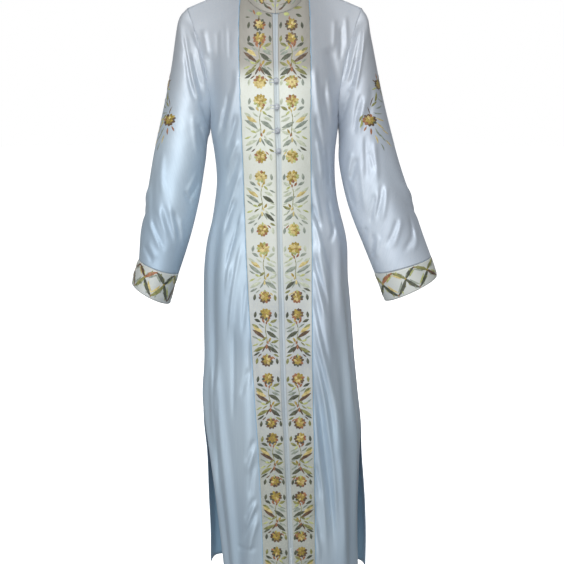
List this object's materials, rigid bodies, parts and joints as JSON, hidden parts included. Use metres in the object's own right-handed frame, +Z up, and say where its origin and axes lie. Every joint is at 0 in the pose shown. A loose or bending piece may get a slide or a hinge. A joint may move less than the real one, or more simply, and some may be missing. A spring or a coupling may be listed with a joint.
{
  "type": "kaftan",
  "caption": "Long satin kaftan worn closed, hollow and open at neck, cuffs and hem, with stand collar, side slits, embroidered front bands, cuffs and ball buttons.",
  "frame": {"origin": "middle of the neck at the height of the high shoulder points, where the wearer's shoulders carry the garment", "axes": "+Z up along the garment's length, the front faces -Y, +X towards the wearer's left sleeve"},
  "size_m": [0.7175, 0.2637, 1.4778],
  "materials": {
    "satin": "light blue satin with a soft sheen",
    "embroidered_band": "pale silver-blue satin with gold, rust and olive flower embroidery",
    "button": "pale thread-wound ball",
    "loop_cord": "twisted pale cord"
  },
  "bodies": {
    "root": {"front_left": "satin", "front_right": "satin", "back_left": "satin", "back_right": "satin", "sleeve_left": "satin", "sleeve_right": "satin", "cuff_left": "embroidered_band", "cuff_right": "embroidered_band", "collar": "embroidered_band", "band_left": "embroidered_band", "band_right": "embroidered_band", "button_1": "button", "button_2": "button", "button_3": "button", "button_4": "button", "loop_1": "loop_cord", "loop_2": "loop_cord", "loop_3": "loop_cord", "loop_4": "loop_cord"}
  },
  "joints": []
}
